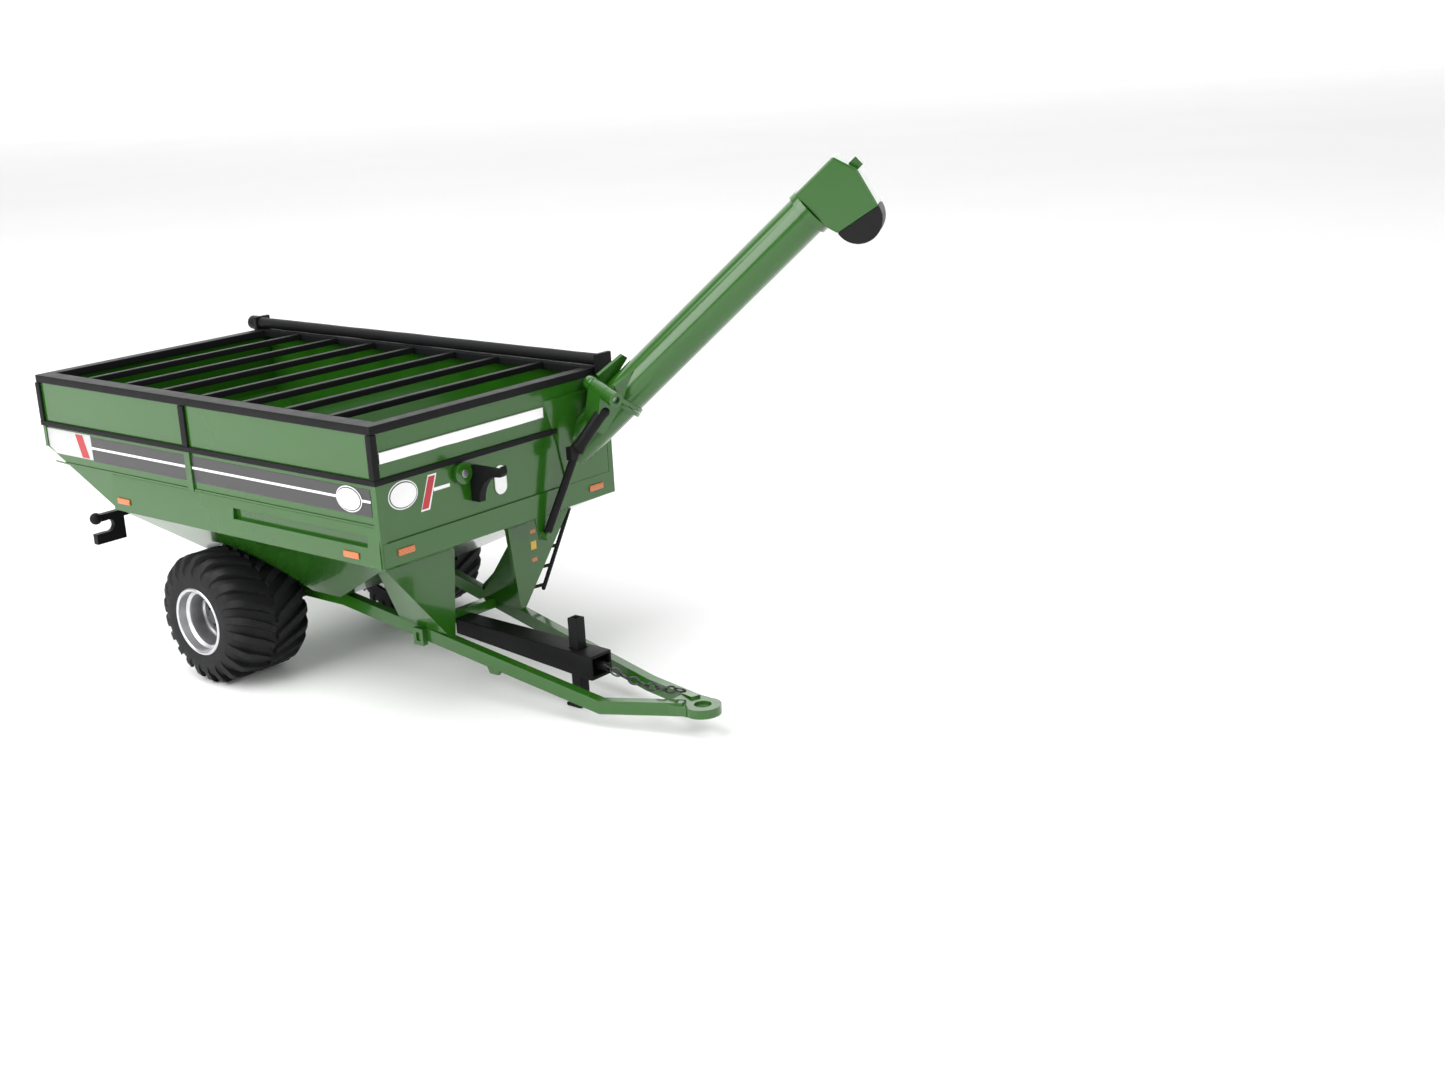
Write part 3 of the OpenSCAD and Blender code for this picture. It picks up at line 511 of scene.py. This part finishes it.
def wheel_disc(side, name):
    """Deep-dished silver rim with a rolled lip, and its dark centre disc with nuts"""
    rim_node = f"wheel_rim_{name}"
    disc_node = f"hub_disc_{name}"
    low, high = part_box(rim_node)
    centre = (low + high) / 2
    face = (high.x if side > 0 else low.x) * side
    inner = (low.x if side > 0 else high.x) * side
    r = BEAD_R
    dish = 5.5 * MM

    def at(depth, radius):
        return (side * (face - depth) - centre.x, radius)

    lip = [at((0.35 + 0.35 * -math.cos(a)) * MM, r - (0.38 - 0.38 * math.sin(a)) * MM)
           for a in [math.pi / 2 - math.pi * i / 6 for i in range(-1, 6)]]
    outline = [(side * inner - centre.x, r - 0.02 * MM), at(0.8 * MM, r - 0.02 * MM)] + lip
    outline += [at(0.9 * MM, r - 0.8 * MM), at(1.7 * MM, r - 0.95 * MM), at(2.1 * MM, r - 1.5 * MM),
                at(2.6 * MM, r - 1.62 * MM), at(dish - 0.9 * MM, r - 1.72 * MM),
                at(dish - 0.5 * MM, r - 1.9 * MM), at(dish, r - 2.3 * MM), at(dish, 1.1 * MM),
                at(dish + 1.0 * MM, 1.1 * MM), at(dish + 1.0 * MM, r - 2.2 * MM),
                at(dish + 2.0 * MM, r - 0.9 * MM), (side * inner - centre.x, r - 0.9 * MM),
                (side * inner - centre.x, r - 0.02 * MM)]
    bm = bmesh.new()
    spun(bm, outline, centre, 96)
    bmesh.ops.recalc_face_normals(bm, faces=bm.faces)
    body = BODY_OF[rim_node]
    finish_piece(bm, f"{rim_node}_dish", "wheel_silver", body, rim_node, 32)

    disc = bmesh.new()
    rings = [at(dish - 0.02 * MM, r - 2.25 * MM), at(dish - 0.55 * MM, r - 2.45 * MM),
             at(dish - 0.75 * MM, r - 2.9 * MM), at(dish - 0.5 * MM, r - 3.3 * MM),
             at(dish - 0.5 * MM, 1.9 * MM), at(dish - 1.5 * MM, 1.6 * MM),
             at(dish - 1.8 * MM, 1.25 * MM), at(dish - 1.85 * MM, 0.0)]
    spun(disc, rings, centre, 64)
    nuts = 10
    nut_circle = 2.75 * MM
    for i in range(nuts):
        turn = math.tau * i / nuts
        spot = centre + Vector((at(dish - 0.7 * MM, 0)[0], nut_circle * math.sin(turn),
                                nut_circle * math.cos(turn)))
        place_nut = Matrix.Translation(spot) @ Matrix.Rotation(math.pi / 2, 4, "Y")
        bmesh.ops.create_cone(disc, cap_ends=True, segments=6, radius1=0.36 * MM,
                              radius2=0.32 * MM, depth=0.7 * MM, matrix=place_nut)
    bmesh.ops.recalc_face_normals(disc, faces=disc.faces)
    finish_piece(disc, f"{disc_node}_bolted", "disc_grey", body, disc_node, 32)


class CART_OT_wheels(bpy.types.Operator):
    """Builds both flotation tyres with their lugs, and the dished rims"""

    bl_idname = "cart.wheels"
    bl_label = "Wheels"

    def execute(self, context):
        for side, name in ((1, "left"), (-1, "right")):
            tyre(f"tyre_{name}", context.scene.cart_tyre)
            wheel_disc(side, name)
        return {"FINISHED"}


# ---- Chain -----------------------------------------------------------------------

def islands(mesh):
    """Centres of the separate solids of a mesh, from the cart's front backwards"""
    bm = bmesh.new()
    bm.from_mesh(mesh)
    bmesh.ops.remove_doubles(bm, verts=bm.verts, dist=WELD)
    left = set(bm.verts)
    centres = []
    while left:
        group = set()
        queue = [left.pop()]
        while queue:
            v = queue.pop()
            group.add(v)
            queue += [o for e in v.link_edges for o in e.verts if o in left]
            left -= set(queue)
        centres.append(sum((v.co for v in group), Vector()) / len(group))
    bm.free()
    return sorted(centres, key=lambda c: c.y)


class CART_OT_chain(bpy.types.Operator):
    """Links the safety chain from oval wire rings, each turned from the last"""

    bl_idname = "cart.chain"
    bl_label = "Safety chain"

    def execute(self, context):
        spots = islands(frame["nodes"]["safety_chain"].data)
        wire = 0.17 * MM
        ring_r = 0.62 * MM
        bm = bmesh.new()
        for i, spot in enumerate(spots):
            before = spots[max(0, i - 1)]
            after = spots[min(len(spots) - 1, i + 1)]
            along = (after - before).normalized()
            pitch = (after - before).length / (2 if 0 < i < len(spots) - 1 else 1)
            ring = bmesh.ops.create_circle(
                bm, segments=10, radius=wire,
                matrix=Matrix.Translation((ring_r, 0, 0)) @ Matrix.Rotation(math.pi / 2, 4, "X"))
            edges = list({e for v in ring["verts"] for e in v.link_edges})
            earlier = set(bm.verts) - set(ring["verts"])
            bmesh.ops.spin(bm, geom=ring["verts"] + edges, cent=(0, 0, 0), axis=(0, 0, 1),
                           dvec=(0, 0, 0), angle=math.tau, steps=24, use_merge=True)
            verts = [v for v in bm.verts if v not in earlier]
            stretch = (pitch * 0.5 + 2 * wire) / (ring_r + wire)
            roll = Matrix.Rotation(math.radians(45 + 90 * (i % 2)), 4, "X")
            turn = along.to_track_quat("X", "Z").to_matrix().to_4x4()
            bmesh.ops.transform(
                bm, verts=verts,
                matrix=Matrix.Translation(spot) @ turn @ roll @ Matrix.Diagonal((stretch, 1, 1, 1)))
        bmesh.ops.recalc_face_normals(bm, faces=bm.faces)
        finish_piece(bm, "chain_links", "chain_steel", "cart", "safety_chain", 60,
                     level=False)
        return {"FINISHED"}


# ---- Decals ----------------------------------------------------------------------

def film(name, paint, outline, lift, plane, thick=0.05 * MM):
    """A thin film cut to an outline: plane 'left', 'right' or 'front' of the tub"""
    bm = bmesh.new()
    if plane == "front":
        verts = [bm.verts.new(place(a, -lift, z)) for a, z in outline]
        push = Vector((0, -thick, 0))
    else:
        side = 1 if plane == "left" else -1
        verts = [bm.verts.new(place(side * (HALF_W / MM + lift), a, z)) for a, z in outline]
        push = Vector((side * thick, 0, 0))
    face = bm.faces.new(verts)
    made = bmesh.ops.extrude_face_region(bm, geom=[face])
    moved = [g for g in made["geom"] if isinstance(g, bmesh.types.BMVert)]
    bmesh.ops.translate(bm, verts=moved, vec=push)
    bmesh.ops.recalc_face_normals(bm, faces=bm.faces)
    return finish_piece(bm, name, paint, "cart", None, 30, level=False)


def bar_outline(a0, a1, z0, z1, lean=0.0):
    """Corners of a bar, its top moved along by lean"""
    return [(a0, z0), (a1, z0), (a1 + lean, z1), (a0 + lean, z1)]


def oval_outline(a, z, ra, rz, count=48):
    """Points round an oval about (a, z)"""
    return [(a + ra * math.cos(math.tau * i / count), z + rz * math.sin(math.tau * i / count))
            for i in range(count)]


def badge(name, plane, centre, radii, lift):
    """A blank oval badge: white film, a dark ring and a white field"""
    for i, (paint, inset) in enumerate((("white_ink", 0), ("black_ink", 0.22), ("white_ink", 0.4))):
        film(f"badge_{name}_{i}", paint,
             oval_outline(*centre, radii[0] - inset, radii[1] - inset),
             lift + 0.06 * i, plane)


class CART_OT_decals(bpy.types.Operator):
    """Lays the plain stripes, blank badges and small labels"""

    bl_idname = "cart.decals"
    bl_label = "Decals"

    def execute(self, context):
        for plane in ("left", "right"):
            post_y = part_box("side_posts")[0].y
            post = (post_y - FRONT_Y) / MM
            spans = ((1.5, post - 0.1), (post + 1.8, 84.0))
            for i, (a0, a1) in enumerate(spans):
                film(f"stripe_{plane}_{i}", "stripe", bar_outline(a0, a1, -15.8, -11.0),
                     0.02, plane)
                film(f"pinline_{plane}_{i}", "white_ink", bar_outline(a0, a1, -13.35, -12.9),
                     0.08, plane)
            badge(plane, plane, (7, -13.2), (3.35, 2.3), 0.14)
            block = [(84, -15.6), (97, -15.6), (99.2, -14.2), (99.2, -10.6), (84, -10.6)]
            film(f"rear_block_{plane}", "silver_ink", block, 0.02, plane)
            film(f"rear_mark_{plane}", "red_ink", bar_outline(85.2, 87.6, -15.4, -10.9, 1.6),
                 0.08, plane)
        badge("front", "front", (-22.8, -13), (3.3, 2.5), 0.02)
        film("front_bar_edge", "white_ink", bar_outline(-19.2, -17.2, -16.9, -10.9, 2.2), 0.02,
             "front")
        film("front_bar", "red_ink", bar_outline(-19.0, -17.5, -16.6, -11.2, 2.1), 0.08, "front")
        film("front_line", "white_ink", bar_outline(-15.9, -12.2, -14.0, -13.4), 0.02, "front")
        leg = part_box("leg_left")[0].y
        for i, (z, paint) in enumerate(((-29.5, "amber_marker"), (-32.2, "yellow_ink"),
                                        (-35.0, "amber_marker"))):
            half = 0.8 if paint == "yellow_ink" else 0.35
            film(f"leg_label_{i}", paint, bar_outline(12.2, 13.6, z - half, z + half),
                 (FRONT_Y - leg) / MM, "front")
        return {"FINISHED"}


# ---- Tarp ------------------------------------------------------------------------

class CART_OT_tarp(bpy.types.Operator):
    """Rolls the vinyl tarp along the auger-side rim"""

    bl_idname = "cart.tarp"
    bl_label = "Tarp roll"

    def execute(self, context):
        low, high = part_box("tarp_roll")
        centre = (low + high) / 2
        r = (high.z - low.z) / 2
        length = high.y - low.y
        rng = random.Random(7)
        sag = [rng.uniform(-1, 1) for _ in range(9)]
        bm = bmesh.new()
        turns = 2.6
        steps = 84
        spiral = []
        for i in range(steps + 1):
            u = i / steps
            angle = -turns * math.tau * (1 - u) - 0.9
            radius = r * (0.42 + 0.56 * u)
            spiral.append(bm.verts.new(Vector((centre.x + radius * math.cos(angle), low.y,
                                               centre.z + radius * math.sin(angle)))))
        strip = [bm.edges.new(pair) for pair in zip(spiral, spiral[1:])]
        stations = 40
        for _ in range(stations):
            made = bmesh.ops.extrude_edge_only(bm, edges=strip)
            strip = [g for g in made["geom"] if isinstance(g, bmesh.types.BMEdge)]
            moved = [g for g in made["geom"] if isinstance(g, bmesh.types.BMVert)]
            bmesh.ops.translate(bm, verts=moved, vec=(0, length / stations, 0))
        for v in bm.verts:
            u = (v.co.y - low.y) / length
            wave = sum(s * math.sin((k + 1) * math.pi * u * 1.7 + s) for k, s in enumerate(sag))
            arm = Vector((v.co.x - centre.x, 0, v.co.z - centre.z))
            v.co += arm * (0.012 * wave - 0.03)
        bmesh.ops.solidify(bm, geom=bm.faces[:], thickness=0.14 * MM)
        bmesh.ops.recalc_face_normals(bm, faces=bm.faces)
        core_r = r * 0.36
        lengthwise = Matrix.Translation(centre) @ Matrix.Rotation(math.pi / 2, 4, "X")
        bmesh.ops.create_cone(bm, cap_ends=True, segments=24, radius1=core_r, radius2=core_r,
                              depth=length, matrix=lengthwise)
        finish_piece(bm, "tarp_rolled", "tarp_vinyl", "cart", "tarp_roll", 40,
                     level=False)
        return {"FINISHED"}


# ---- Stage -----------------------------------------------------------------------

SHEET_HALF_SIZE = 3.0
BACKDROP_DISTANCE = 1.9
CAMERA_LENS = 46.57
CAMERA_SPOT = (-222.4, -237.9, 65.8)
CAMERA_RIGHT = (0.6316, -0.7736, -0.0506)
CAMERA_FORWARD = (0.7339, 0.6177, -0.2824)
WORLD_STRENGTH = 0.36
# Name, offset from the cart in metres, size in metres and power in watts
LAMPS = (("key", (-0.35, 0.15, 0.75), 0.8, 7.5), ("side", (-0.8, 0.1, 0.34), 0.6, 5.0),
         ("front", (-0.1, -0.85, 0.4), 0.6, 3.4))


def stage_sheet(name, matrix):
    """A large flat sheet of the stage"""
    bm = bmesh.new()
    bmesh.ops.create_grid(bm, x_segments=2, y_segments=2, size=SHEET_HALF_SIZE, matrix=matrix)
    mesh = bpy.data.meshes.new(name)
    bm.to_mesh(mesh)
    bm.free()
    sheet = bpy.data.objects.new(name, mesh)
    bpy.context.scene.collection.objects.link(sheet)
    return sheet


class CART_OT_stage(bpy.types.Operator):
    """Sets the camera, the pale floor and the soft lights"""

    bl_idname = "cart.stage"
    bl_label = "Stage"

    def execute(self, context):
        scene = context.scene
        camera_data = bpy.data.cameras.new("camera")
        camera_data.sensor_width = 36.0
        camera_data.lens = CAMERA_LENS
        camera_data.clip_start = 0.01
        camera = bpy.data.objects.new("camera", camera_data)
        scene.collection.objects.link(camera)
        right = Vector(CAMERA_RIGHT).normalized()
        forward = Vector(CAMERA_FORWARD).normalized()
        up = right.cross(forward)
        spot = place(*CAMERA_SPOT)
        turn = Matrix((right, up, -forward)).transposed().to_4x4()
        camera.matrix_world = Matrix.Translation(spot) @ turn
        scene.camera = camera

        floor = stage_sheet("floor", Matrix.Translation((0, 0, GROUND_Z)))
        f = Finish("floor_paper", {"Roughness": 0.6, "Specular IOR Level": 0.3})
        f.feed("Base Color", f.blend(f.noise(8, 2), (0.88, 0.88, 0.88), (0.92, 0.92, 0.92)))
        floor.data.materials.append(f.material)

        world = bpy.data.worlds.new("studio")
        world.use_nodes = True
        background = world.node_tree.nodes["Background"]
        background.inputs["Color"].default_value = (1, 1, 1, 1)
        background.inputs["Strength"].default_value = WORLD_STRENGTH
        scene.world = world

        facing = Vector((forward.x, forward.y, 0)).normalized()
        upright = (-facing).to_track_quat("Z", "Y").to_matrix().to_4x4()
        backdrop = stage_sheet("backdrop", Matrix.Translation(facing * BACKDROP_DISTANCE) @ upright)
        f = Finish("backdrop_glow", {"Emission Color": (1, 1, 1, 1), "Emission Strength": 1.0,
                                     "Base Color": (0.9, 0.9, 0.9, 1)})
        backdrop.data.materials.append(f.material)

        target = place(0, 40, -20)
        for name, offset, size, power in LAMPS:
            lamp_data = bpy.data.lights.new(name, "AREA")
            lamp_data.size = size
            lamp_data.energy = power
            lamp = bpy.data.objects.new(name, lamp_data)
            lamp.location = target + Vector(offset)
            lamp.rotation_euler = (-Vector(offset)).to_track_quat("-Z", "Y").to_euler()
            scene.collection.objects.link(lamp)
        scene.view_settings.view_transform = "Standard"
        return {"FINISHED"}


class CART_PT_panel(bpy.types.Panel):
    """Sidebar panel with every step of the finish"""

    bl_idname = "CART_PT_panel"
    bl_label = "Grain cart"
    bl_space_type = "VIEW_3D"
    bl_region_type = "UI"
    bl_category = "Grain cart"

    def draw(self, context):
        for group in (context.scene.cart_paint, context.scene.cart_tyre, context.scene.cart_edges):
            box = self.layout.box()
            for key in group.bl_rna.properties.keys():
                if key not in ("rna_type", "name"):
                    box.prop(group, key)
        for step in STEPS:
            self.layout.operator(step.bl_idname)


STEPS = (CART_OT_sheet_metal, CART_OT_trim, CART_OT_auger, CART_OT_wheels, CART_OT_chain,
         CART_OT_decals, CART_OT_tarp, CART_OT_stage)
GROUPS = {"cart_paint": CART_PG_paint, "cart_tyre": CART_PG_tyre, "cart_edges": CART_PG_edges}


def register():
    """Registers the settings, the steps and the panel"""
    for name, group in GROUPS.items():
        bpy.utils.register_class(group)
        setattr(bpy.types.Scene, name, PointerProperty(type=group))
    for step in STEPS:
        bpy.utils.register_class(step)
    bpy.utils.register_class(CART_PT_panel)


def unregister():
    """Takes everything out again in the reverse order"""
    bpy.utils.unregister_class(CART_PT_panel)
    for step in reversed(STEPS):
        bpy.utils.unregister_class(step)
    for name, group in GROUPS.items():
        delattr(bpy.types.Scene, name)
        bpy.utils.unregister_class(group)


def main():
    """Builds the whole scene"""
    register()
    build_paints()
    for step in STEPS:
        family, call = step.bl_idname.split(".")
        getattr(getattr(bpy.ops, family), call)()


if __name__ == "__main__":
    main()
